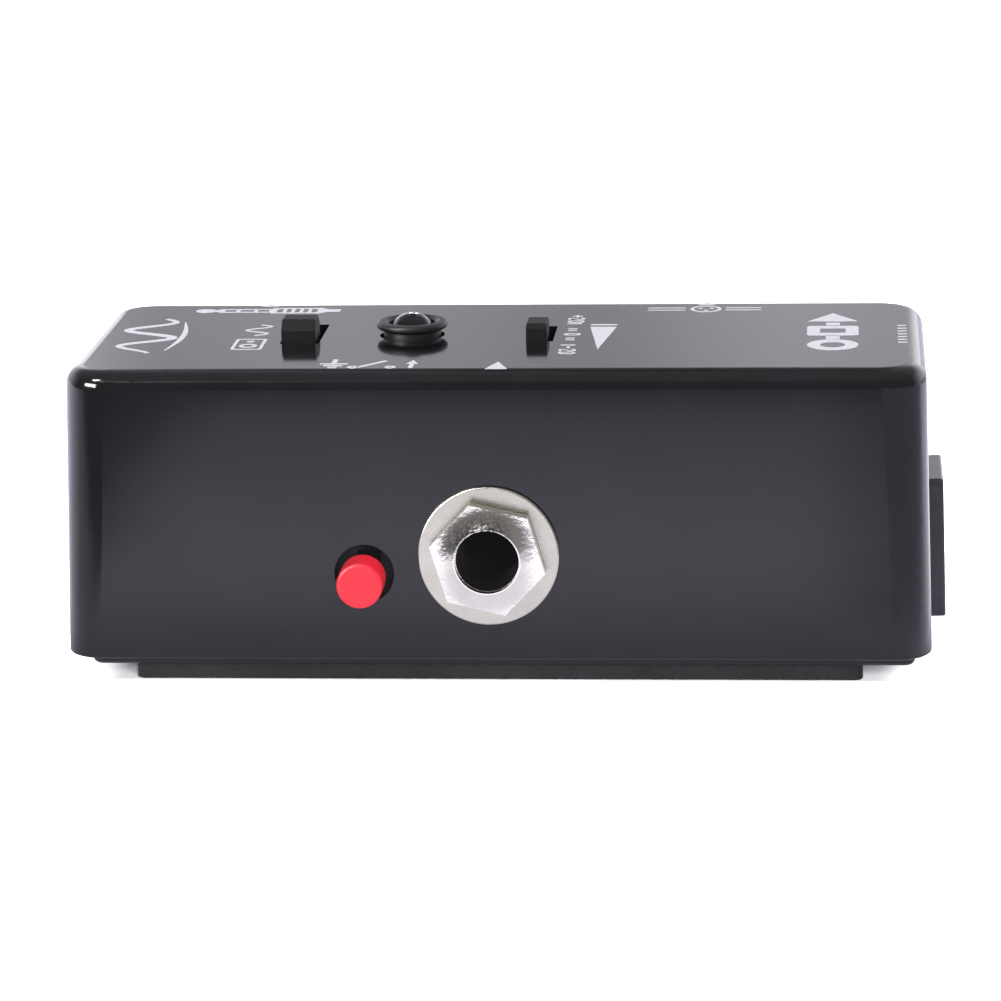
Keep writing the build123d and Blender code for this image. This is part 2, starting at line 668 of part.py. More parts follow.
# ============================================================================
# SLIDE SWITCHES UNDER THE TOP
# ============================================================================
frame_top = roof_z - 0.05          # top of the metal frame
frame_sheet = 0.4
frame_z = control_top + 1.2        # lower edge of the frame, above its tabs
contact_head = 0.9                 # square heads of the terminals
carriage_z = control_top + 2.5


def make_switch_frame(switch):
    """Folded metal cover, open below, with a window for the knob's neck."""
    with BuildPart() as frame:
        with BuildSketch(Plane.XY.offset(frame_z)):
            with Locations((switch.x, switch.y)):
                Rectangle(switch.frame_width, switch.frame_length)
        extrude(amount=frame_top - frame_z)
        with BuildSketch(Plane.XY.offset(frame_z)):
            with Locations((switch.x, switch.y)):
                Rectangle(switch.frame_width - 2 * frame_sheet,
                          switch.frame_length - 2 * frame_sheet)
        extrude(amount=frame_top - frame_z - frame_sheet, mode=Mode.SUBTRACT)
        with BuildSketch(Plane.XY.offset(frame_top - 1)):
            with Locations((switch.x, switch.y)):
                Rectangle(switch.slot_width - 0.6, switch.travel + switch.knob_length - 0.2)
        extrude(amount=2, mode=Mode.SUBTRACT)
        # four tabs down beside the base
        with BuildSketch(Plane.XY.offset(control_top + 0.3)):
            with Locations((switch.x, switch.y)):
                with GridLocations(switch.frame_width - frame_sheet,
                                   switch.frame_length - 3.4, 2, 2):
                    Rectangle(frame_sheet, 1.6)
        extrude(amount=0.95)
    return frame.part


def make_switch_base(switch):
    """Insulating base that fits inside the frame."""
    with BuildPart() as base:
        with BuildSketch(Plane.XY.offset(control_top)):
            with Locations((switch.x, switch.y)):
                Rectangle(switch.frame_width - 2 * frame_sheet,
                          switch.frame_length - 2 * frame_sheet)
        extrude(amount=1.6)
        with BuildSketch(Plane.XY.offset(control_top - 1)):
            with Locations(*switch.leads):
                Rectangle(contact_head, contact_head)
        extrude(amount=4, mode=Mode.SUBTRACT)
    return base.part


def make_switch_terminals(switch):
    """Contact heads in the base, with legs through the control board."""
    with BuildPart() as terminals:
        with BuildSketch(Plane.XY.offset(control_top)):
            with Locations(*switch.leads):
                Rectangle(contact_head, contact_head)
        extrude(amount=1.75)
        with BuildSketch(Plane.XY.offset(control_top)):
            with Locations(*switch.leads):
                Circle(lead_r)
        extrude(amount=-(control_thick + lead_tail))
    return terminals.part


def make_switch_knob(switch):
    """Knob, neck and carriage in one piece."""
    front_y = switch.rest_y - switch.knob_length / 2
    back_y = switch.rest_y + switch.knob_length / 2
    foot_z, knob_top_z = top_z + switch.knob_foot, top_z + switch.knob_height
    with BuildPart() as knob:
        # knob above the panel: upright feet, slanted ends, flat top
        with BuildSketch(Plane.YZ.offset(switch.knob_x - switch.knob_width / 2)):
            with BuildLine():
                Polyline((front_y, top_z - 0.4), (front_y, foot_z),
                         (front_y + switch.knob_slant, knob_top_z),
                         (back_y - switch.knob_slant, knob_top_z),
                         (back_y, foot_z), (back_y, top_z - 0.4), close=True)
            make_face()
        extrude(amount=switch.knob_width)
        fillet(knob.edges().filter_by(Axis.X), radius=0.18)
        side_edges = knob.faces().filter_by(Axis.X).edges()
        chamfer(side_edges.filter_by(lambda edge: edge.center().Z > top_z - 0.2), length=0.12)
        # neck through the slot and the frame window
        with BuildSketch(Plane.XY.offset(roof_z - 2.0)):
            with Locations((switch.knob_x, switch.rest_y)):
                Rectangle(switch.knob_width - 0.8, switch.knob_length - 0.7)
        extrude(amount=top_z - roof_z + 1.7)
        # carriage inside the frame
        with BuildSketch(Plane.XY.offset(carriage_z)):
            with Locations((switch.x, switch.rest_y)):
                Rectangle(switch.frame_width - 1.1, switch.frame_length - 1.3 - switch.travel)
        extrude(amount=frame_top - 0.5 - carriage_z)
        # groove under the carriage for the sliding contact
        with BuildSketch(Plane.XY.offset(carriage_z - 0.1)):
            with Locations((switch.x, switch.rest_y)):
                Rectangle(switch.frame_width - 1.9, switch.frame_length - 3.0 - switch.travel)
        extrude(amount=0.6, mode=Mode.SUBTRACT)
    return knob.part


def make_switch_contact(switch):
    """Bridging plate in the groove, with a wiper under each side."""
    wiper_x = (switch.frame_width - 2.6) / 2
    wiper_height = 0.8
    plate_z = carriage_z + 0.1
    with BuildPart() as contact:
        with BuildSketch(Plane.XY.offset(plate_z)):
            with Locations((switch.x, switch.rest_y)):
                Rectangle(switch.frame_width - 2.0, switch.frame_length - 3.1 - switch.travel)
        extrude(amount=0.4)
        with BuildSketch(Plane.XY.offset(plate_z - wiper_height)):
            with Locations((switch.x - wiper_x, switch.rest_y),
                           (switch.x + wiper_x, switch.rest_y)):
                Rectangle(0.5, 2.6)
        extrude(amount=wiper_height)
    return contact.part


for switch in slide_switches:
    save(make_switch_frame(switch), f"{switch.name}_switch_frame")
    save(make_switch_base(switch), f"{switch.name}_switch_base")
    save(make_switch_terminals(switch), f"{switch.name}_switch_terminals")
    save(make_switch_knob(switch), f"{switch.name}_switch_knob")
    save(make_switch_contact(switch), f"{switch.name}_switch_contact")


# ============================================================================
# GROUND-LIFT PUSH SWITCH
# ============================================================================
cap_r = 2.45
cap_front_y = -(outer_y(lift_z) + 5.2)
cap_back_y = -(outer_y(lift_z) + 1.05)
stem_size = 2.2                    # square stem of the plunger
stem_tip_y = cap_front_y + 1.6
lift_width, lift_height = 8.4, 8.4
lift_front_y, lift_back_y = -14.0, -3.6               # housing
lift_back_wall = 0.8
cavity_front_y, cavity_back_y = lift_front_y + 1.3, lift_back_y - lift_back_wall
block_front_y, block_back_y = lift_front_y + 1.5, lift_front_y + 6.2   # sliding block, at rest

with BuildPart() as lift_button_cap:
    with BuildSketch(front_plane(lift_x, cap_back_y, lift_z)):
        Circle(cap_r)
    extrude(amount=cap_back_y - cap_front_y)
    fillet(lift_button_cap.faces().sort_by(Axis.Y)[0].edges(), radius=0.4)
    fillet(lift_button_cap.faces().sort_by(Axis.Y)[-1].edges(), radius=0.25)
    # square socket that grips the plunger
    with BuildSketch(front_plane(lift_x, cap_back_y + 1, lift_z)):
        Rectangle(stem_size, stem_size)
    extrude(amount=1 + cap_back_y - stem_tip_y + 0.05, mode=Mode.SUBTRACT)
save(lift_button_cap.part, "lift_button_cap")

with BuildPart() as lift_switch_plunger:
    with BuildSketch(front_plane(lift_x, block_front_y, lift_z)):
        Rectangle(stem_size, stem_size)
    extrude(amount=block_front_y - stem_tip_y)
    with BuildSketch(front_plane(lift_x, block_back_y, lift_z)):
        Rectangle(5.6, 4.6)
    extrude(amount=block_back_y - block_front_y)
    # spring seat bored in the back
    with BuildSketch(front_plane(lift_x, block_back_y, lift_z)):
        Circle(1.35)
    extrude(amount=1.6, mode=Mode.SUBTRACT)
save(lift_switch_plunger.part, "lift_switch_plunger")

with BuildPart() as lift_switch_body:
    with BuildSketch(front_plane(lift_x, lift_back_y, lift_z)):
        Rectangle(lift_width, lift_height)
    extrude(amount=lift_back_y - lift_front_y)
    chamfer(lift_switch_body.edges().filter_by(Axis.Y), length=0.4)
    # cavity for the sliding block, with room for the contact on each side
    with BuildSketch(front_plane(lift_x, cavity_back_y, lift_z)):
        Rectangle(7.0, 4.8)
    extrude(amount=cavity_back_y - cavity_front_y, mode=Mode.SUBTRACT)
    # window for the stem
    with BuildSketch(front_plane(lift_x, lift_front_y + 2.0, lift_z)):
        Rectangle(2.5, 2.5)
    extrude(amount=4.0, mode=Mode.SUBTRACT)
    # holes of the six terminals, from below into the cavity
    with BuildSketch(Plane.XY.offset(lift_z - lift_height / 2 - 1)):
        with Locations(*lift_leads):
            Circle(lead_r)
    extrude(amount=1 + lift_height / 2 - 2.0, mode=Mode.SUBTRACT)
save(lift_switch_body.part, "lift_switch_body")

with BuildPart() as lift_switch_terminals:
    with BuildSketch(Plane.XY.offset(main_z - lead_tail)):
        with Locations(*lift_leads):
            Circle(lead_r)
    extrude(amount=lift_z - 2.05 - main_z + lead_tail)
save(lift_switch_terminals.part, "lift_switch_terminals")

with BuildPart() as lift_switch_contact:
    # two bridging strips on the flanks of the sliding block
    with BuildSketch(front_plane(lift_x, block_back_y - 0.6, lift_z)):
        with Locations((-3.02, 0), (3.02, 0)):
            Rectangle(0.4, 4.0)
    extrude(amount=3.4)
save(lift_switch_contact.part, "lift_switch_contact")

# return spring: round wire coil between the block and the housing's back wall
coil_r, wire_r, coil_turns = 1.05, 0.15, 6.0
coil_y = block_back_y - 1.55 + wire_r
coil_length = lift_back_y - 0.85 - wire_r - coil_y
with BuildPart() as lift_switch_spring:
    with BuildLine():
        coil = Helix(pitch=coil_length / coil_turns, height=coil_length, radius=coil_r,
                     center=(lift_x, coil_y, lift_z), direction=(0, 1, 0))
    with BuildSketch(Plane(origin=coil @ 0, z_dir=coil % 0)):
        Circle(wire_r)
    sweep(path=coil)
save(lift_switch_spring.part, "lift_switch_spring")


# ============================================================================
# CIRCUIT BOARDS AND CIRCUIT PARTS
# ============================================================================
with BuildPart() as main_board:
    with BuildSketch(Plane.XY.offset(main_z)):
        with Locations(((main_x0 + main_x1) / 2, 0)):
            RectangleRounded(main_x1 - main_x0, 2 * main_half_width, board_corner_r)
        with Locations(*(jack_leads + xlr_leads + lift_leads + header_leads)):
            Circle(lead_hole_r, mode=Mode.SUBTRACT)
    extrude(amount=main_thick)
save(main_board.part, "main_board")

cab_switch, gain_switch = slide_switches
with BuildPart() as control_board:
    with BuildSketch(Plane.XY.offset(control_z)):
        with Locations(((control_x0 + control_x1) / 2, 0)):
            RectangleRounded(control_x1 - control_x0, 2 * control_half_width, board_corner_r)
        with Locations(*(cab_switch.leads + gain_switch.leads + header_leads)):
            Circle(lead_hole_r, mode=Mode.SUBTRACT)
        with Locations(*led_leads_at):
            Circle(0.5, mode=Mode.SUBTRACT)
    extrude(amount=control_thick)
save(control_board.part, "control_board")

header_pin, strip_width, strip_height = 0.6, 2.5, 2.5
with BuildPart() as board_link_pins:
    with BuildSketch(Plane.XY.offset(main_z - lead_tail)):
        with Locations(*header_leads):
            Rectangle(header_pin, header_pin)
    extrude(amount=control_top - main_z + 2 * lead_tail)
save(board_link_pins.part, "board_link_pins")

with BuildPart() as board_link_spacer:
    # one strip on the main board, one under the control board
    for strip_z in (main_top, control_z - strip_height):
        with BuildSketch(Plane.XY.offset(strip_z)):
            with Locations(header_leads[header_pins // 2]):
                Rectangle(header_pitch * header_pins, strip_width)
            with Locations(*header_leads):
                Rectangle(header_pin, header_pin, mode=Mode.SUBTRACT)
        extrude(amount=strip_height)
save(board_link_spacer.part, "board_link_spacer")

chip_centres = ((13.5, -9.0), (22.5, -9.0))
chip_leg_pitch, chip_leg_width = 1.27, 0.42
# distance between rows, length and height of the outer feet and inner legs
chip_legs = ((5.2, 0.9, 0.2), (4.2, 1.1, 0.9))
with BuildPart() as amplifier_chips:
    # two eight-legged chips with stepped legs
    for centre in chip_centres:
        with BuildSketch(Plane.XY.offset(main_top + 0.15)):
            with Locations(centre):
                Rectangle(4.9, 3.9)
        extrude(amount=1.5)
        for row_gap, leg_length, leg_height in chip_legs:
            with BuildSketch(Plane.XY.offset(main_top)):
                with Locations(centre):
                    with GridLocations(chip_leg_pitch, row_gap, 4, 2):
                        Rectangle(chip_leg_width, leg_length)
            extrude(amount=leg_height)
save(amplifier_chips.part, "amplifier_chips")

can_r = 2.5
can_table = ((11.6, -2.9, 6.8), (-14.0, 3.6, 11.0), (28.0, -11.2, 6.8))   # x, y, height
with BuildPart() as electrolytic_capacitors:
    for x, y, height in can_table:
        with BuildSketch(Plane.XY.offset(main_top)):
            with Locations((x, y)):
                Circle(can_r)
        extrude(amount=height)
        # groove round the foot of the can
        with BuildSketch(Plane.XY.offset(main_top + 1.0)):
            with Locations((x, y)):
                Circle(can_r + 0.5)
                Circle(can_r - 0.22, mode=Mode.SUBTRACT)
        extrude(amount=0.55, mode=Mode.SUBTRACT)
        # cross scored in the top
        with BuildSketch(Plane.XY.offset(main_top + height - 0.25)):
            with Locations((x, y)):
                Rectangle(2 * can_r - 1.2, 0.35)
                Rectangle(0.35, 2 * can_r - 1.2)
        extrude(amount=0.5, mode=Mode.SUBTRACT)
save(electrolytic_capacitors.part, "electrolytic_capacitors")

film_table = ((-5.0, 13.0, 5.2), (1.5, 13.0, 5.2), (8.0, 12.6, 3.4))   # x, y, length along X
with BuildPart() as film_capacitors:
    for x, y, length in film_table:
        with BuildSketch(Plane.XY.offset(main_top)):
            with Locations((x, y)):
                Rectangle(length, 2.4)
        extrude(amount=6.0)
    chamfer(film_capacitors.edges().group_by(Axis.Z)[-1], length=0.3)
save(film_capacitors.part, "film_capacitors")

# x positions, y, board face, height (negative hangs below)
resistor_rows = (
    ((12.0, 15.0, 18.0, 21.0, 24.0), -13.3, main_top, 0.55),
    ((-30.0, -26.5, -14.0, -10.5), -11.8, control_z, -0.55))
with BuildPart() as chip_resistors:
    for row, y, face_z, height in resistor_rows:
        for x in row:
            with BuildSketch(Plane.XY.offset(face_z)):
                with Locations((x, y)):
                    Rectangle(2.0, 1.25)
            extrude(amount=height)
save(chip_resistors.part, "chip_resistors")

diode_at = (18.0, -4.4)
with BuildPart() as power_diode:
    with BuildSketch(Plane.XY.offset(main_top + 0.05)):
        with Locations(diode_at):
            Rectangle(4.3, 2.4)
    extrude(amount=2.1, taper=4)
    # terminals, standing out at both ends
    with BuildSketch(Plane.XY.offset(main_top)):
        with Locations(diode_at):
            Rectangle(5.4, 1.5)
    extrude(amount=0.9)
save(power_diode.part, "power_diode")
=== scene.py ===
"""A small gloss-black box with sockets, switches and white printed marks, on pale paper.

The box lies flat on z = 0, its marks printed on the top face. +X is right, -Y is the
front, towards the camera, and +Z is up. The scene is in metres; marks are laid out in mm.
"""
import bpy, bmesh, json, math, random
from mathutils import Vector, Matrix

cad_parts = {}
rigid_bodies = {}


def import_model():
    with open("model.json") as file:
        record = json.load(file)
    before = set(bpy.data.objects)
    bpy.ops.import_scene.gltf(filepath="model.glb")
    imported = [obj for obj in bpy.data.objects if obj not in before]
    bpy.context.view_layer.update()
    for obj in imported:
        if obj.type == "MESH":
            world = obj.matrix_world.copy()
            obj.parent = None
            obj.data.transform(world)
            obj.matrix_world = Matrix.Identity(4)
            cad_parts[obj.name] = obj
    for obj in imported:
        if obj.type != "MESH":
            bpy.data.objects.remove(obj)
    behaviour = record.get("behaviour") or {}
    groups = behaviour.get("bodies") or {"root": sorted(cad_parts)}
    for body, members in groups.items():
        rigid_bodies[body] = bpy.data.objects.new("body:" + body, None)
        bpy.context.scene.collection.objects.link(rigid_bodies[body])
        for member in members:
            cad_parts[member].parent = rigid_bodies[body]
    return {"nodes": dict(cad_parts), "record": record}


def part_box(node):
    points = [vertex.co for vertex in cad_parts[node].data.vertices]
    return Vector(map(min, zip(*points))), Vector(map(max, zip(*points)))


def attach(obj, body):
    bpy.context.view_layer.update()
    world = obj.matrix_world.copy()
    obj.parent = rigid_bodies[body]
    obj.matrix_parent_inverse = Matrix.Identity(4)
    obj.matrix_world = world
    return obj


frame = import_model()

random.seed(7)
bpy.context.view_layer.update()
MM = 0.001
scene = bpy.context.scene


# --- node graphs ------------------------------------------------------------
class Graph:
    """A node tree built in code. A tuple given to an input is a colour."""

    def __init__(self, tree):
        self.tree = tree
        tree.nodes.clear()

    def node(self, kind, **settings):
        node = self.tree.nodes.new("ShaderNode" + kind)
        for name, value in settings.items():
            setattr(node, name, value)
        return node

    def feed(self, socket, value):
        """Link a socket to an input, or set the input's value."""
        if isinstance(value, bpy.types.NodeSocket):
            self.tree.links.new(value, socket)
        else:
            socket.default_value = (*value, 1.0) if isinstance(value, tuple) else value

    def put(self, node, **inputs):
        for name, value in inputs.items():
            self.feed(node.inputs[name.replace("_", " ")], value)
        return node

    def math(self, operation, *values, clamp=False):
        node = self.node("Math", operation=operation, use_clamp=clamp)
        for socket, value in zip(node.inputs, values):
            self.feed(socket, value)
        return node.outputs[0]

    def add(self, a, b):
        return self.math("ADD", a, b)

    def sub(self, a, b):
        return self.math("SUBTRACT", a, b)

    def mul(self, a, b):
        return self.math("MULTIPLY", a, b)

    def blend(self, weight, a, b):
        """Number a where weight is 0, b where it is 1."""
        return self.add(self.mul(a, self.sub(1.0, weight)), self.mul(b, weight))

    def smooth(self, value, start, end, low=0.0, high=1.0):
        """Ease from low at start to high at end."""
        node = self.node("MapRange", interpolation_type="SMOOTHSTEP")
        self.put(node, Value=value, From_Min=start, From_Max=end, To_Min=low, To_Max=high)
        return node.outputs["Result"]

    def ramp(self, source, stops):
        """stops: (position 0..1, grey level or colour)."""
        node = self.node("ValToRGB")
        elements = node.color_ramp.elements
        while len(elements) < len(stops):
            elements.new(1.0)
        for element, (position, level) in zip(elements, stops):
            rgb = level if isinstance(level, tuple) else (level,) * 3
            element.position = position
            element.color = (*rgb, 1.0)
        return self.put(node, Fac=source).outputs["Color"]

    def curve(self, value, stops):
        """A number read off a list of (position, level) in any units."""
        first, last = stops[0][0], stops[-1][0]
        top = max(level for _, level in stops)
        place = self.math("DIVIDE", self.sub(value, first), last - first, clamp=True)
        grey = self.ramp(place, [((position - first) / (last - first), level / top)
                                 for position, level in stops])
        split = self.put(self.node("SeparateColor"), Color=grey)
        return self.mul(split.outputs[0], top)

    def xyz(self, vector):
        node = self.node("SeparateXYZ")
        self.feed(node.inputs[0], vector)
        return node.outputs

    def position(self):
        return self.xyz(self.node("NewGeometry").outputs["Position"])

    def shader(self, kind, **inputs):
        return self.put(self.node(kind), **inputs).outputs[0]

    def add_shaders(self, a, b):
        node = self.node("AddShader")
        self.feed(node.inputs[0], a)
        self.feed(node.inputs[1], b)
        return node.outputs[0]

    def mix_shaders(self, factor, a, b):
        node = self.node("MixShader")
        for socket, value in zip(node.inputs, (factor, a, b)):
            self.feed(socket, value)
        return node.outputs[0]


MATS = {}


class Mat(Graph):
    """A Principled material whose textures are sized in mm of object space."""

    def __init__(self, name):
        material = bpy.data.materials.new(name)
        material.use_nodes = True
        super().__init__(material.node_tree)
        self.out = self.node("OutputMaterial")
        self.bsdf = self.node("BsdfPrincipled")
        self.put(self.out, Surface=self.bsdf.outputs[0])
        self.coords = self.node("TexCoord")
        MATS[name] = material

    def mapping(self, scale, location=(0, 0, 0)):
        node = self.node("Mapping")
        node.inputs["Scale"].default_value = scale
        node.inputs["Location"].default_value = location
        return self.put(node, Vector=self.coords.outputs["Object"]).outputs[0]

    def noise(self, size_mm, detail=3.0, rough=0.5, stretch=(1, 1, 1), seed=0.0):
        scale = 1000.0 / size_mm
        vector = self.mapping(scale=[scale * s for s in stretch],
                              location=(seed, seed * 1.7, seed * 0.3))
        node = self.put(self.node("TexNoise"), Scale=1.0, Detail=detail, Roughness=rough,
                        Vector=vector)
        return node.outputs["Fac"]

    def voronoi(self, size_mm):
        vector = self.mapping(scale=(1000.0 / size_mm,) * 3)
        return self.put(self.node("TexVoronoi"), Scale=1.0, Vector=vector).outputs["Distance"]

    def fade(self, source, low, high, start=0.3, end=0.7):
        """Turn a texture into the range low..high, grey levels or colours."""
        return self.ramp(source, [(start, low), (end, high)])

    def mix(self, factor, a, b, mode="MIX"):
        node = self.node("Mix", data_type="RGBA", blend_type=mode)
        for index, value in ((0, factor), (6, a), (7, b)):      # the colour sockets
            self.feed(node.inputs[index], value)
        return node.outputs[2]

    def unit(self, value):
        return self.math("MINIMUM", self.math("MAXIMUM", value, 0.0), 1.0)

    def finish(self, color, roughness, bumps, **inputs):
        """bumps: (height texture, depth in mm), chained in order."""
        self.put(self.bsdf, Base_Color=color, Roughness=roughness, **inputs)
        normal = None
        for height, depth_mm in bumps:
            bump = self.put(self.node("Bump"), Strength=1.0, Distance=depth_mm * MM,
                            Height=height)
            if normal is not None:
                self.put(bump, Normal=normal)
            normal = bump.outputs[0]
        self.put(self.bsdf, Normal=normal)


# --- materials, one for each finish -----------------------------------------
def black_paint():
    """Gloss black enamel over a casting: slight orange peel, faint specks."""
    mat = Mat("black_paint")
    patches = mat.noise(size_mm=9.0, detail=2.0)
    peel = mat.noise(size_mm=1.6, detail=2.0, seed=3.0)
    fine = mat.noise(size_mm=0.22, detail=2.0, seed=5.0)
    mat.finish(
        color=mat.fade(patches, low=(0.0050, 0.0049, 0.0058), high=(0.0072, 0.0070, 0.0084)),
        roughness=mat.fade(fine, low=0.080, high=0.105),
        bumps=[(peel, 0.0008), (fine, 0.00006)], IOR=1.5)


def base_black():
    """Satin black with fine scratches."""
    mat = Mat("base_black")
    fine = mat.noise(size_mm=0.28)
    scratches = mat.noise(size_mm=0.5, stretch=(0.05, 1.4, 1.0), seed=2.0)
    mat.finish(
        color=mat.fade(fine, low=(0.007, 0.007, 0.008), high=(0.015, 0.015, 0.017), end=0.75),
        roughness=mat.fade(scratches, low=0.32, high=0.48, start=0.35),
        bumps=[(fine, 0.006), (scratches, 0.0015)])


def pad_rubber():
    """Fine-celled rubber sheet with small pits, darkened with painted shade."""
    mat = Mat("pad_rubber")
    grain = mat.noise(size_mm=0.16, detail=4.0, rough=0.7)
    cells = mat.voronoi(size_mm=0.42)
    patches = mat.noise(size_mm=6.0, seed=1.0)
    base = mat.fade(patches, low=(0.014, 0.014, 0.015), high=(0.024, 0.024, 0.026))
    # painted shade: each pit is darkened towards its centre
    pits = mat.fade(cells, low=0.35, high=1.0, start=0.05, end=0.4)
    mat.finish(
        color=mat.mix(factor=0.6, a=base, b=pits, mode="MULTIPLY"),
        roughness=mat.fade(grain, low=0.78, high=0.96),
        bumps=[(grain, 0.05), (cells, 0.05)])


def white_ink():
    """Screen-printed white ink, slightly uneven in coverage."""
    mat = Mat("white_ink")
    cover = mat.noise(size_mm=0.35)
    mat.finish(
        color=mat.fade(cover, low=(0.47, 0.47, 0.51), high=(0.60, 0.60, 0.65),
                       start=0.25, end=0.65),
        roughness=mat.fade(cover, low=0.35, high=0.5),
        bumps=[(cover, 0.002)])


def board_green():
    """Green solder mask over faint copper tracks."""
    mat = Mat("board_green")
    bricks = mat.put(mat.node("TexBrick"), Scale=1.0, Mortar_Size=0.11, Brick_Width=3.1,
                     Row_Height=1.3, Vector=mat.mapping(scale=(900, 900, 900)))
    tracks = bricks.outputs["Fac"]
    fine = mat.noise(size_mm=0.3)
    mat.finish(
        color=mat.mix(factor=tracks, a=(0.006, 0.075, 0.030), b=(0.020, 0.145, 0.055)),
        roughness=mat.fade(fine, low=0.28, high=0.42),
        bumps=[(tracks, 0.02), (fine, 0.002)])


def clear_resin():
    mat = Mat("clear_resin")
    swirl = mat.noise(size_mm=1.4, detail=2.0)
    mat.finish(
        color=mat.fade(swirl, low=(0.80, 0.82, 0.86), high=(0.90, 0.92, 0.95)),
        roughness=mat.fade(swirl, low=0.015, high=0.05),
        bumps=[(swirl, 0.003)], IOR=1.53, Transmission_Weight=1.0)


# Painted reflection: dull dark blotches painted into the plating round the socket mouth, in
# place of the dark surroundings it reflects there; in metres
MOUTH_X, MOUTH_Z = -0.0004, 0.0145      # centre of the mouth
DARK_REFLECTION_RADIUS = 0.0036                  # full strength inside this
DARK_REFLECTION_BOTTOM = 0.0004                  # none below this height over the centre
DARK_REFLECTION_RIGHT = 0.0016                   # fades to the right of this
RADIAL_FALL, EDGE_FALL = 480.0, 700.0   # how fast each limit fades, per metre


def painted_reflection_amount(mat):
    # painted reflection: how strongly dark reflections are painted into the plating, over the
    # upper side of the mouth
    x, _, z = mat.position()
    from_x = mat.add(x, -MOUTH_X)
    from_z = mat.sub(z, MOUTH_Z)
    squares = mat.add(mat.mul(from_x, from_x), mat.mul(from_z, from_z))
    radius = mat.math("SQRT", squares)
    near = mat.sub(1.0, mat.mul(mat.sub(radius, DARK_REFLECTION_RADIUS), RADIAL_FALL))
    upper = mat.mul(mat.sub(from_z, DARK_REFLECTION_BOTTOM), EDGE_FALL)
    left = mat.sub(1.0, mat.mul(mat.sub(from_x, DARK_REFLECTION_RIGHT), EDGE_FALL))
    zone = mat.mul(mat.unit(near), mat.mul(mat.unit(upper), mat.unit(left)))
    speckle = mat.noise(size_mm=0.30, detail=2.0, rough=0.6, seed=21.0)
    spots = mat.fade(speckle, low=0.25, high=1.0, start=0.40, end=0.56)
    return mat.mul(mat.mul(zone, spots), 0.85)


def plated(name, tint, rough_low, rough_high, streak, stretch, mottling=0.0, dents=0.0):
    """Plated metal: cloudy tone and fine streaks. If asked for, it is also dented, with a
    painted dark reflection round the socket mouth and a faint painted glow.
    """
    mat = Mat(name)
    clouds = mat.noise(size_mm=2.2, detail=4.0, rough=0.6)
    lines = mat.noise(size_mm=0.10, detail=2.0, stretch=stretch, seed=4.0)
    color = mat.fade(clouds, low=tuple(c * 0.88 for c in tint), high=tint, start=0.25, end=0.75)
    bumps = [(lines, streak), (clouds, mottling)]
    glow = {}
    if dents:
        bumps.append((mat.noise(size_mm=0.42, rough=0.55, seed=9.0), dents))
        # painted reflection: dark blotches painted over the plating's colour where it would
        # reflect dark surroundings
        color = mat.mix(factor=painted_reflection_amount(mat), a=color, b=(0.05, 0.047, 0.045))
        # painted light: a faint emission standing in for stray light on the plating
        glow = dict(Emission_Color=(1.0, 0.98, 1.04), Emission_Strength=0.007)
    mat.finish(color=color, roughness=mat.fade(lines, low=rough_low, high=rough_high),
               bumps=bumps, Metallic=1.0, **glow)


def plastic(name, dark, light, rough_low, rough_high, grain_mm=0.18, depth=0.006,
            unreflected=False, **inputs):
    mat = Mat(name)
    grain = mat.noise(size_mm=grain_mm, rough=0.6)
    tone = mat.noise(size_mm=3.5, seed=6.0)
    mat.finish(color=mat.fade(tone, low=dark, high=light),
               roughness=mat.fade(grain, low=rough_low, high=rough_high),
               bumps=[(grain, depth), (tone, depth * 1.5)], IOR=1.5, **inputs)
    if unreflected:
        # keeps its colour from spilling over the gloss paint and the plating
        glossy = mat.node("LightPath").outputs["Is Glossy Ray"]
        clear = mat.shader("BsdfTransparent")
        mat.put(mat.out, Surface=mat.mix_shaders(glossy, mat.bsdf.outputs[0], clear))


# name, tint, roughness low and high, streak depth mm, streak stretch, options
PLATINGS = [
    # bright_nickel gets dents, the painted dark reflection and the faint painted glow
    ("bright_nickel", (0.97, 0.94, 0.84), 0.08, 0.14, 0.0003, (1.0, 0.25, 1.0),
     dict(mottling=0.006, dents=0.045)),
    ("washer_nickel", (0.70, 0.675, 0.575), 0.26, 0.34, 0.00025, (0.25, 1.0, 1.0),
     dict(mottling=0.002)),
    ("contact_metal", (0.72, 0.70, 0.66), 0.22, 0.35, 0.0010, (1.0, 1.0, 0.2), {}),
    ("brass_contact", (0.83, 0.62, 0.28), 0.22, 0.34, 0.0010, (0.2, 1.0, 1.0), {}),
    ("screw_steel", (0.17, 0.17, 0.18), 0.28, 0.42, 0.0020, (1.0, 1.0, 1.0), {}),
    ("frame_steel", (0.66, 0.66, 0.66), 0.28, 0.40, 0.0010, (1.0, 0.2, 1.0), {}),
]
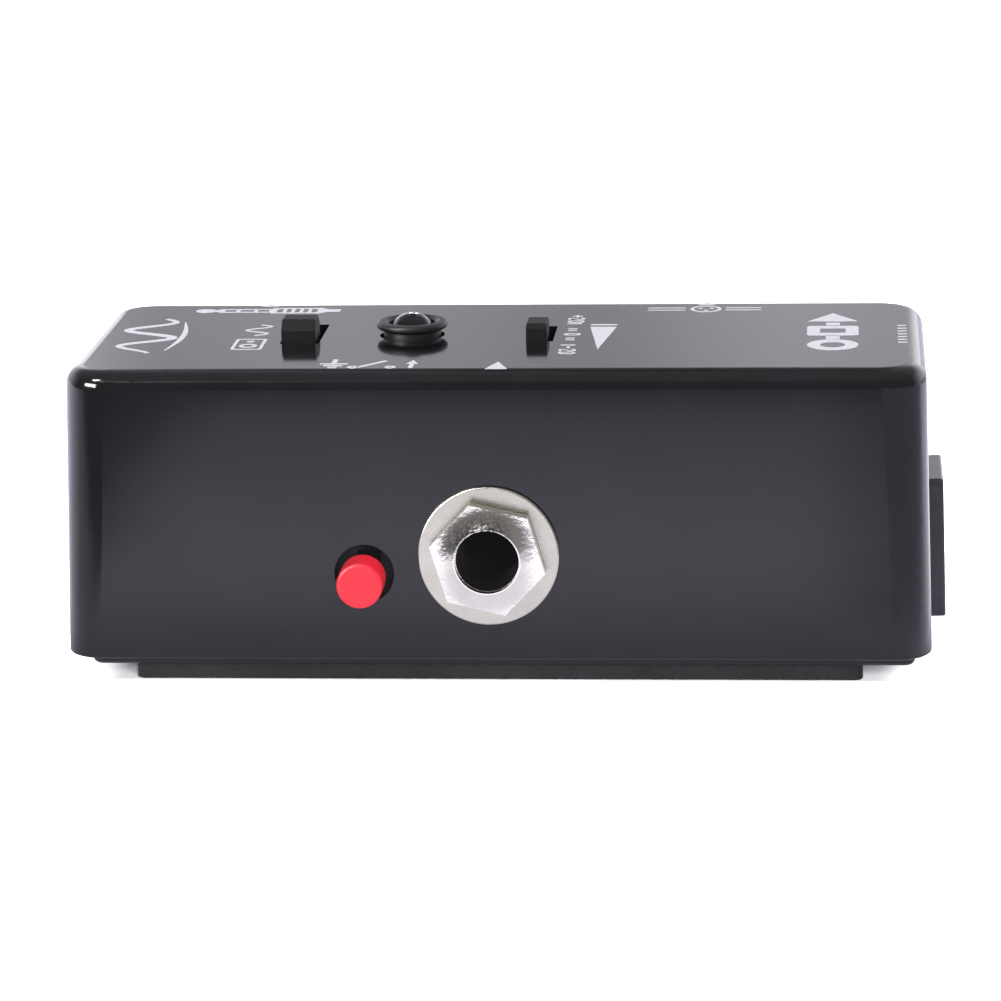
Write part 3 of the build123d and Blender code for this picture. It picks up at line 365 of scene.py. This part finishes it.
# name, dark tone, light tone, roughness low and high, options
PLASTICS = [
    # jack_plastic carries painted light: a faint emission standing in for stray light that
    # lifts its blacks
    ("jack_plastic", 0.007, 0.013, 0.42, 0.6,
     dict(Emission_Color=(1.0, 0.98, 1.06), Emission_Strength=0.006)),
    ("red_plastic", (0.78, 0.016, 0.034), (0.86, 0.023, 0.046), 0.34, 0.46,
     dict(grain_mm=0.25, depth=0.003, unreflected=True)),
    ("knob_plastic", (0.0055, 0.0055, 0.0062), (0.0075, 0.0075, 0.0084), 0.5, 0.62,
     dict(grain_mm=0.15, depth=0.004, Specular_IOR_Level=0.2)),
    ("phenolic", (0.10, 0.042, 0.018), (0.19, 0.085, 0.036), 0.45, 0.6, {}),
    ("collar_plastic", (0.010, 0.010, 0.011), (0.015, 0.015, 0.016), 0.4, 0.52,
     dict(grain_mm=0.14, depth=0.004, Specular_IOR_Level=0.42)),
    ("socket_plastic", (0.018, 0.018, 0.021), (0.026, 0.026, 0.030), 0.18, 0.26,
     dict(grain_mm=0.16, depth=0.0015)),
    ("chip_black", 0.010, 0.018, 0.5, 0.65, {}),
    ("can_blue", (0.010, 0.014, 0.050), (0.016, 0.022, 0.075), 0.2, 0.3, {}),
    ("film_yellow", (0.50, 0.27, 0.03), (0.62, 0.36, 0.05), 0.2, 0.35, {}),
    ("resistor_body", (0.012, 0.012, 0.013), (0.02, 0.02, 0.021), 0.35, 0.5, {}),
]

black_paint()
base_black()
pad_rubber()
white_ink()
board_green()
clear_resin()
for *values, options in PLATINGS:
    plated(*values, **options)
for *values, options in PLASTICS:
    plastic(*values, **options)

slot_of = {part["node"]: part["material_slot"] for part in frame["record"]["subparts"]}
for name, obj in frame["nodes"].items():
    obj.data.materials.clear()
    obj.data.materials.append(MATS.get(slot_of[name], MATS["jack_plastic"]))
    for poly in obj.data.polygons:
        poly.material_index = 0


# --- outlines for the printed marks, in mm ----------------------------------
def circle(cx, cy, radius, segments=48, start=0.0, end=360.0):
    points = []
    for i in range(segments):
        angle = math.radians(start + (end - start) * i / segments)
        points.append((cx + radius * math.cos(angle), cy + radius * math.sin(angle)))
    return points


def rect(cx, cy, width, height, corner=0.0):
    half_w, half_h = width / 2, height / 2
    if corner <= 0:
        return [(cx - half_w, cy - half_h), (cx + half_w, cy - half_h),
                (cx + half_w, cy + half_h), (cx - half_w, cy + half_h)]
    points = []
    for side_x, side_y, start in ((1, -1, -90), (1, 1, 0), (-1, 1, 90), (-1, -1, 180)):
        for i in range(7):
            angle = math.radians(start + 15 * i)
            points.append((cx + side_x * (half_w - corner) + corner * math.cos(angle),
                           cy + side_y * (half_h - corner) + corner * math.sin(angle)))
    return points


def arrow(x, base_y, tip_y, half_width):
    return [(x - half_width, base_y), (x + half_width, base_y), (x, tip_y)]


def stroke(path, widths):
    """A ribbon along a path, with one width or a width at each point."""
    left, right = [], []
    last = len(path) - 1
    for i, (x, y) in enumerate(path):
        x0, y0 = path[max(0, i - 1)]
        x1, y1 = path[min(last, i + 1)]
        dx, dy = x1 - x0, y1 - y0
        length = math.hypot(dx, dy) or 1.0
        half = (widths[i] if isinstance(widths, list) else widths) / 2
        left.append((x - dy / length * half, y + dx / length * half))
        right.append((x + dy / length * half, y - dx / length * half))
    return left + right[::-1]


INK_THICK = 0.03
INK_SUNK = 0.004                        # how far the ink reaches into the top face
top_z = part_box("enclosure_shell")[1].z / MM


def ink(name, outline, *holes):
    """Print a flat mark on the top face."""
    curve = bpy.data.curves.new(name + "_c", "CURVE")
    curve.dimensions = "2D"
    curve.fill_mode = "BOTH"
    curve.extrude = INK_THICK / 2 * MM
    for loop in [outline] + [hole[::-1] for hole in holes]:
        spline = curve.splines.new("POLY")
        spline.points.add(len(loop) - 1)
        for point, (x, y) in zip(spline.points, loop):
            point.co = (x * MM, y * MM, 0, 1)
        spline.use_cyclic_u = True
    temporary = bpy.data.objects.new(name + "_tmp", curve)
    scene.collection.objects.link(temporary)
    bpy.context.view_layer.update()
    depsgraph = bpy.context.evaluated_depsgraph_get()
    mesh = bpy.data.meshes.new_from_object(temporary.evaluated_get(depsgraph))
    bpy.data.objects.remove(temporary)
    mesh.transform(Matrix.Translation((0, 0, (top_z + INK_THICK / 2 - INK_SUNK) * MM)))
    bm = bmesh.new()
    bm.from_mesh(mesh)
    bmesh.ops.remove_doubles(bm, verts=bm.verts, dist=1e-7)
    bmesh.ops.recalc_face_normals(bm, faces=bm.faces)
    bm.to_mesh(mesh)
    bm.free()
    mesh.materials.clear()
    mesh.materials.append(MATS["white_ink"])
    obj = bpy.data.objects.new(name, mesh)
    scene.collection.objects.link(obj)
    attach(obj, "enclosure")


# --- printed marks ----------------------------------------------------------
BALANCED_X, BALANCED_Y = 21.7, 13.7     # balanced output symbol, back right
PLUG_X, PLUG_Y = -27.7, 13.6            # jack plug outline, back left
# front side of the plug, tip to cable: x and y from its centre
PLUG_HALF = [
    (-8.2, -0.55), (-7.3, -1.05), (-6.3, -0.8), (-5.9, -0.45), (-5.3, -0.95),
    (0.4, -0.95), (0.4, -1.5), (6.0, -1.5), (6.9, -0.7), (8.2, -0.7)]


def socket_arrows():
    """One arrow at the front edge for the input, two at the back for the outputs."""
    ink("mark_input_arrow", arrow(x=0.58, base_y=-17.2, tip_y=-13.6, half_width=1.2))
    for side, x in (("left", -27.8), ("right", BALANCED_X)):
        ink("mark_%s_output_arrow" % side, arrow(x, base_y=15.9, tip_y=17.4, half_width=1.1))


def ground_lift():
    """Earth bars, an open switch and a lift arrow, at the front left."""
    earth_x, post_y, lift_x, line = -16.9, -16.1, -8.55, 0.55
    for i, name in enumerate(("bars", "bar_mid", "bar_low")):
        ink("mark_ground_" + name, rect(earth_x, -14.5 - 0.9 * i, 3.0 - i, line))
    ink("mark_ground_stem", rect(earth_x, -13.2, line, 1.9))
    ink("mark_switch_arm", stroke([(-14.2, -16.2), (-11.4, -13.0)], line))
    for name, x in (("a", -14.7), ("b", -10.7)):
        ink("mark_switch_post_" + name, circle(x, post_y, 0.62), circle(x, post_y, 0.22))
    ink("mark_lift_arrow", arrow(lift_x, base_y=-14.6, tip_y=-12.7, half_width=0.65))
    ink("mark_lift_shaft", rect(lift_x, -15.6, 0.5, 1.9))


def jack_plug():
    profile = PLUG_HALF + [(x, -y) for x, y in reversed(PLUG_HALF)]
    bore, grip = 1.0, 1.9               # heights of the two windows
    ink("mark_jack_plug", [(PLUG_X + x, PLUG_Y + y) for x, y in profile],
        rect(PLUG_X - 2.4, PLUG_Y, 5.0, bore), rect(PLUG_X + 3.3, PLUG_Y, 4.6, grip, 0.3))
    for name, offset in (("a", -3.4), ("b", -1.4)):
        ink("mark_jack_ring_" + name, rect(PLUG_X + offset, PLUG_Y, 0.45, bore))
    for i in range(4):
        ink("mark_jack_grip_%d" % i, rect(PLUG_X + 1.9 + 0.95 * i, PLUG_Y, 0.4, grip))


def balanced_output():
    """A ring with three contacts and a pair of lines to each side."""
    dot_orbit = 0.72
    ink("mark_three_contact", circle(BALANCED_X, BALANCED_Y, 1.75, 56),
        circle(BALANCED_X, BALANCED_Y, 1.35, 56))
    for i, degrees in enumerate((30, 150, 270)):
        angle = math.radians(degrees)
        ink("mark_contact_dot_%d" % i,
            circle(BALANCED_X + dot_orbit * math.cos(angle),
                   BALANCED_Y + dot_orbit * math.sin(angle), 0.27, 20))
    for side, offset, length in (("left", -4.4, 4.2), ("right", 4.2, 4.0)):
        for suffix, rise in (("", 0.6), ("_low", -0.6)):
            ink("mark_balanced_line_%s%s" % (side, suffix),
                rect(BALANCED_X + offset, BALANCED_Y + rise, length, 0.42))


def speaker_cabinet():
    """A cabinet with a wave behind it, left of centre."""
    x, box_y, cone_y = -27.4, -4.4, -5.2
    wave_y, wave_length, steps = 0.2, 5.6, 24
    ink("mark_cabinet", rect(x, box_y, 3.4, 5.6, 0.4), rect(x, box_y, 2.7, 4.9, 0.25))
    ink("mark_cabinet_cone", circle(x, cone_y, 1.0, 36), circle(x, cone_y, 0.55, 30))
    ink("mark_cabinet_tweeter", circle(x, -3.0, 0.45, 24))
    wave = [(x + 1.25 * math.sin(2 * math.pi * i / steps * 1.5),
             wave_y + wave_length * i / steps) for i in range(steps + 1)]
    ink("mark_cabinet_wave", stroke(wave, 0.45))


def zero_loop(radius):
    return circle(0.5, 0.5, radius, 24, 180, 360) + circle(0.5, 1.1, radius, 24, 0, 180)


def two_path():
    arc = []
    for degrees in range(170, -41, -15):
        angle = math.radians(degrees)
        arc.append((0.5 + 0.36 * math.cos(angle), 1.1 + 0.36 * math.sin(angle)))
    return arc + [(0.12, 0.14), (0.13, 0.14), (0.96, 0.14)]


# outline, then holes, of each character on a 1 x 1.6 cell
CELL_HEIGHT, CELL_PITCH, CELL_GAP = 1.6, 1.2, 0.2
GLYPHS = {
    "0": [zero_loop(0.5), zero_loop(0.22)],
    "2": [stroke(two_path(), 0.28)],
    "+": [[(0.36, 0.3), (0.64, 0.3), (0.64, 0.66), (1.0, 0.66), (1.0, 0.94), (0.64, 0.94),
           (0.64, 1.3), (0.36, 1.3), (0.36, 0.94), (0.0, 0.94), (0.0, 0.66), (0.36, 0.66)]],
    "-": [[(0.08, 0.66), (0.92, 0.66), (0.92, 0.94), (0.08, 0.94)]],
}


def numerals(name, text, x, y, height, degrees):
    """Characters in a row, centred on x, y and turned."""
    scale = height / CELL_HEIGHT
    total = len(text) * CELL_PITCH - CELL_GAP
    cos, sin = math.cos(math.radians(degrees)), math.sin(math.radians(degrees))

    def place(u, v, i):
        u = (u + i * CELL_PITCH - total / 2) * scale
        v = (v - CELL_HEIGHT / 2) * scale
        return x + u * cos - v * sin, y + u * sin + v * cos

    for i, character in enumerate(text):
        loops = [[place(u, v, i) for u, v in loop] for loop in GLYPHS[character]]
        ink("%s_%d" % (name, i), *loops)


def gain_scale():
    """A wedge widening to the back, with numerals and steps to its left."""
    wedge_x = 10.75
    ink("mark_gain_wedge", [(wedge_x, -7.6), (wedge_x + 1.45, 4.2), (wedge_x - 1.45, 4.2)])
    ink("mark_gain_bar", rect(wedge_x, 5.3, 2.9, 0.6))
    for name, text, y in (("minus", "-20", -7.9), ("zero", "0", 0.3), ("plus", "+20", 8.5)):
        numerals("num_" + name, text, x=7.55, y=y, height=1.9, degrees=-90)
    # y and width of each step
    steps = [(-5.3, 1.6), (-2.6, 1.0), (-1.7, 1.0), (2.3, 1.0), (3.2, 1.0), (5.9, 1.6)]
    for i, (y, width) in enumerate(steps):
        ink("mark_gain_step_%d" % i, rect(7.45, y, width, 0.42))


def signal_flow():
    """Bold ring, line, box, line and arrow, front to back on the right."""
    x, ring_y, box_y, line = 35.9, -5.6, 1.7, 1.5
    ink("mark_flow_socket_near", circle(x, ring_y, 2.75, 56), circle(x, ring_y, 1.35, 40))
    ink("mark_flow_line_near", rect(x, -1.9, line, 1.5))
    ink("mark_flow_box", rect(x, box_y, 5.6, 5.0, 0.5), rect(x, box_y, 2.8, 2.3, 0.2))
    ink("mark_flow_line_far", rect(x, 5.2, line, 1.4))
    ink("mark_flow_arrow", arrow(x, base_y=6.6, tip_y=11.0, half_width=2.8))


def edge_ticks():
    """A column of small ticks at the right-hand edge."""
    for i in range(7):
        ink("mark_tick_%d" % i, rect(43.4, -4.4 + 1.45 * i, 1.0, 0.5))


def left_wave():
    """A flowing wave on the left, with a tapered curve beside it."""
    steps = 60
    path, widths = [], []
    for i in range(steps + 1):
        t = i / steps
        swell = 0.55 + 0.45 * math.sin(math.pi * t)
        path.append((-39.2 + 2.9 * math.sin(t * 4.2 * math.pi + 0.4) * swell, 9.2 - 18.0 * t))
        widths.append(0.35 + 0.75 * abs(math.sin(math.pi * (0.1 + 0.85 * t))))
    ink("mark_wave", stroke(path, widths))
    steps = 20
    path, widths = [], []
    for i in range(steps + 1):
        bow = math.sin(math.pi * i / steps)
        path.append((-36.2 + 0.9 * bow, -7.5 + 15.0 * i / steps))
        widths.append(0.12 + 0.5 * bow)
    ink("mark_wave_underline", stroke(path, widths))


socket_arrows()
ground_lift()
jack_plug()
balanced_output()
speaker_cabinet()
gain_scale()
signal_flow()
edge_ticks()
left_wave()

# --- floor ------------------------------------------------------------------
FLOOR_HALF = 6.0
FLOOR_Z = -0.00002
# How bright the paper looks in reflections: (place in mm, level) along each line
EDGE_LEVEL = 0.2                        # beyond the paper's front edge
FRONT_LEVELS = [                        # mm towards the viewer
    (0, 0.70), (19, 0.72), (35, 0.80), (42, 0.89), (50, 1.03), (60, 1.20), (75, 1.33),
    (92, 1.36), (110, 1.29), (130, 1.18), (150, 1.06), (172, 0.96), (184, 0.84),
    (190, 0.55), (195, 0.30), (202, EDGE_LEVEL), (260, EDGE_LEVEL)]
LEFT_LEVELS = [                         # mm to the back, left of the object
    (-140, 0.20), (-100, 0.22), (-80, 0.42), (-68, 0.62), (-57, 0.80), (-23, 0.97),
    (-12, 1.20), (0, 1.35), (29, 1.60), (60, 1.90)]
RIGHT_LEVELS = [                        # mm to the back, right of the object
    (-140, 0.55), (-60, 0.65), (-40, 0.80), (-28, 0.93), (-18, 1.25), (-7, 1.60),
    (0, 1.80), (60, 1.90)]
# Left shade: mm towards the viewer, then its border's mm to the left, or half its blur in mm
SHADE_BORDER = [
    (0, 300), (20, 220), (35, 140), (43, 95), (60, 70), (75, 61.5), (92, 58.5),
    (110, 59.5), (130, 62), (150, 65), (200, 72), (260, 78)]
SHADE_BLUR = [(0, 40), (43, 24), (75, 15), (260, 14)]
LEFT_PIVOT_X, LEFT_SLANT = -72.0, -0.185    # slant of the level lines beside the object
RIGHT_PIVOT_X, RIGHT_SLANT = 70.0, 0.56


def floor_glow(graph, x, y):
    """Brightness of the paper as the glossy parts see it; x, y in mm."""
    near = graph.math("MAXIMUM", graph.mul(y, -1.0), 0.0)
    along = graph.curve(near, FRONT_LEVELS)
    border = graph.curve(near, SHADE_BORDER)
    blur = graph.curve(near, SHADE_BLUR)
    past = graph.math("DIVIDE", graph.sub(graph.mul(x, -1.0), border), blur)
    left_shade = graph.sub(1.0, graph.smooth(past, start=-1.0, end=1.0))
    # milder shade to the right, only away from the object
    away = graph.smooth(near, start=38.0, end=60.0)
    right_dim = graph.smooth(x, start=29.0, end=48.0, high=0.55)
    right_shade = graph.sub(1.0, graph.mul(right_dim, away))
    shaded = graph.mul(graph.mul(graph.sub(along, EDGE_LEVEL), left_shade), right_shade)
    glow = graph.add(shaded, EDGE_LEVEL)
    # beside the object the paper brightens towards the back
    left_y = graph.add(y, graph.mul(graph.add(x, -LEFT_PIVOT_X), LEFT_SLANT))
    left = graph.curve(left_y, LEFT_LEVELS)
    right_y = graph.sub(y, graph.mul(graph.sub(x, RIGHT_PIVOT_X), RIGHT_SLANT))
    right = graph.curve(right_y, RIGHT_LEVELS)
    left_weight = graph.smooth(x, start=-72.0, end=-50.0, low=1.0, high=0.0)
    glow = graph.blend(left_weight, glow, left)
    glow = graph.blend(graph.smooth(x, start=50.0, end=64.0), glow, right)
    # behind the object, brighter to the left
    behind = graph.smooth(y, start=60.0, end=160.0)
    slope = graph.math("DIVIDE", x, graph.math("MAXIMUM", y, 10.0))
    back = graph.smooth(slope, start=-0.25, end=-0.17, low=2.2, high=0.95)
    return graph.blend(behind, glow, back)


def floor_material():
    """White paper that answers camera, glossy and other rays differently."""
    material = bpy.data.materials.new("floor_pale")
    material.use_nodes = True
    graph = Graph(material.node_tree)
    out = graph.node("OutputMaterial")
    place = graph.position()
    x = graph.mul(place["X"], 1000.0)
    y = graph.mul(place["Y"], 1000.0)
    reflected = graph.shader("Emission", Strength=floor_glow(graph, x, y),
                             Color=(1.0, 0.97, 1.16))
    # the camera sees doubly bright paper, with contact shade only under and behind the object
    paper = graph.add_shaders(*[graph.shader("BsdfDiffuse", Color=(0.9, 0.9, 0.9))
                                for _ in range(2)])
    lift_front = graph.smooth(y, start=-17.5, end=-16.2, low=0.9, high=0.0)
    lift_sides = graph.smooth(graph.math("ABSOLUTE", x), start=40.5, end=45.0, high=0.9)
    base_glow = 0.06
    lift = graph.add(graph.math("MAXIMUM", lift_front, lift_sides), base_glow)
    lift_light = graph.shader("Emission", Color=(1.0, 1.0, 1.0), Strength=lift)
    seen = graph.add_shaders(paper, lift_light)
    plain = graph.shader("BsdfDiffuse", Color=(0.80, 0.79, 0.80))
    rays = graph.node("LightPath").outputs
    direct = graph.mix_shaders(rays["Is Camera Ray"], plain, seen)
    graph.put(out, Surface=graph.mix_shaders(rays["Is Glossy Ray"], direct, reflected))
    return material


def build_floor():
    mesh = bpy.data.meshes.new("floor")
    bm = bmesh.new()
    bm.faces.new([bm.verts.new((x * FLOOR_HALF, y * FLOOR_HALF, FLOOR_Z))
                  for x, y in ((-1, -1), (1, -1), (1, 1), (-1, 1))])
    bm.to_mesh(mesh)
    bm.free()
    floor = bpy.data.objects.new("floor", mesh)
    scene.collection.objects.link(floor)
    mesh.materials.append(floor_material())


build_floor()

# --- world: pale behind and low down, dim above and in front ----------------
# sideways slope x / y behind the object, brightness
BACKDROP_LEVELS = [
    (-0.50, 1.60), (-0.30, 2.20), (-0.225, 1.90), (-0.20, 1.35), (-0.183, 0.85),
    (-0.172, 0.70), (-0.150, 0.75), (-0.1235, 0.80), (-0.0945, 0.72), (-0.078, 0.66),
    (-0.062, 0.63), (-0.050, 0.69), (-0.038, 0.77), (-0.026, 0.84), (-0.014, 0.905),
    (-0.002, 0.88), (0.010, 0.84), (0.08, 0.90), (0.13, 1.15), (0.20, 1.75), (0.80, 1.90)]
# sideways slope x / -y in front, brightness of the slim line there
LINE_LEVELS = [
    (-1.2, 0.0), (-0.9, 3.2), (-0.50, 3.4), (-0.35, 2.3), (-0.27, 1.25), (-0.235, 1.0),
    (-0.20, 0.35), (-0.15, 0.12), (0.2, 0.0)]
WORLD_TINT = (1.0, 0.972, 1.045)
MIN_DEPTH = 0.05                        # keeps the slopes finite


def build_world():
    world = bpy.data.worlds.new("studio")
    scene.world = world
    world.use_nodes = True
    graph = Graph(world.node_tree)
    out = graph.node("OutputWorld")
    x, y, z = graph.xyz(graph.node("TexCoord").outputs["Generated"])
    back = graph.smooth(y, start=-0.10, end=0.60)
    low = graph.smooth(z, start=0.30, end=0.62, low=1.0, high=0.26)
    side = graph.math("DIVIDE", x, graph.math("MAXIMUM", y, MIN_DEPTH))
    backdrop = graph.mul(graph.mul(back, low), graph.curve(side, BACKDROP_LEVELS))
    dim = graph.add(graph.smooth(z, start=0.45, end=0.95, high=0.20), 0.20)
    rest = graph.mul(graph.sub(1.0, back), dim)
    # a slim bright line high in front, fading to the right
    depth = graph.math("MAXIMUM", graph.mul(y, -1.0), MIN_DEPTH)
    line = graph.curve(graph.math("DIVIDE", x, depth), LINE_LEVELS)
    band = graph.mul(graph.smooth(z, start=0.640, end=0.690),
                     graph.smooth(z, start=0.720, end=0.770, low=1.0, high=0.0))
    front = graph.smooth(y, start=-0.20, end=-0.05, low=1.0, high=0.0)
    line = graph.mul(graph.mul(line, band), front)
    level = graph.add(graph.add(backdrop, rest), line)
    color = graph.node("CombineXYZ")
    for socket, tint in zip(color.inputs, WORLD_TINT):
        graph.feed(socket, graph.mul(level, tint))
    background = graph.shader("Background", Color=color.outputs[0], Strength=1.0)
    graph.put(out, Surface=background)


build_world()

# --- lights -----------------------------------------------------------------
# name, place, target, width, height, power, lights matt surfaces, shows in gloss;
# a large box at the front left, a smaller one above it, and two washes
LIGHTS = [
    ("key_left", (-0.69, -0.63, 0.33), (0, 0, 0.03), 0.50, 0.27, 12.0, False, True),
    ("box_high_left", (-0.46, -0.47, 0.79), (0, 0, 0.03), 0.26, 0.14, 5.0, False, True),
    ("wash_top", (0.0, -0.05, 1.0), (0, 0, 0), 0.9, 0.9, 8.0, True, False),
    ("wash_front", (0.25, -0.9, 0.35), (0, 0, 0.02), 0.5, 0.4, 8.0, True, False),
]


def pose(x, y, z, place):
    """A world matrix from three axes and a place."""
    return Matrix([(x[i], y[i], z[i], place[i]) for i in range(3)] + [(0, 0, 0, 1)])


def area_light(name, place, target, width, height, power, diffuse, glossy):
    light = bpy.data.lights.new(name, "AREA")
    light.shape = "RECTANGLE"
    light.size = width
    light.size_y = height
    light.energy = power
    obj = bpy.data.objects.new(name, light)
    scene.collection.objects.link(obj)
    z = (Vector(place) - Vector(target)).normalized()
    x = Vector((-z.y, z.x, 0.0)).normalized()
    obj.matrix_world = pose(x, z.cross(x), z, place)
    obj.visible_diffuse = diffuse
    obj.visible_glossy = glossy
    return obj


key_light = [area_light(*row) for row in LIGHTS][0]
# the plated nut is kept out of the key light, which would burn out on its dome
spared = bpy.data.collections.new("spared")
for obj in bpy.data.objects:
    if obj.name == "input_jack_nut":
        spared.objects.link(obj)
key_light.light_linking.receiver_collection = spared
for item in spared.collection_objects:
    item.light_linking.link_state = "EXCLUDE"

# --- camera -----------------------------------------------------------------
PITCH = math.radians(14.20)             # downwards
YAW = math.radians(-4.91)               # negative turns it to the left
ROLL = math.radians(1.215)
CAMERA_PLACE = Vector((37.53, -444.77, 128.62)) * MM


def build_camera():
    forward = Vector((math.sin(YAW) * math.cos(PITCH), math.cos(YAW) * math.cos(PITCH),
                      -math.sin(PITCH)))
    level_right = Vector((math.cos(YAW), -math.sin(YAW), 0.0))
    level_down = forward.cross(level_right)
    right = level_right * math.cos(ROLL) + level_down * math.sin(ROLL)
    down = -level_right * math.sin(ROLL) + level_down * math.cos(ROLL)
    data = bpy.data.cameras.new("camera")
    data.sensor_fit = "HORIZONTAL"
    data.sensor_width = 36.0
    data.lens = 150.049151
    data.clip_start = 0.01
    data.clip_end = 50.0
    camera = bpy.data.objects.new("camera", data)
    scene.collection.objects.link(camera)
    camera.matrix_world = pose(right, -down, -forward, CAMERA_PLACE)
    scene.camera = camera


build_camera()
scene.view_settings.view_transform = "Standard"
scene.view_settings.look = "None"


bpy.context.view_layer.update()
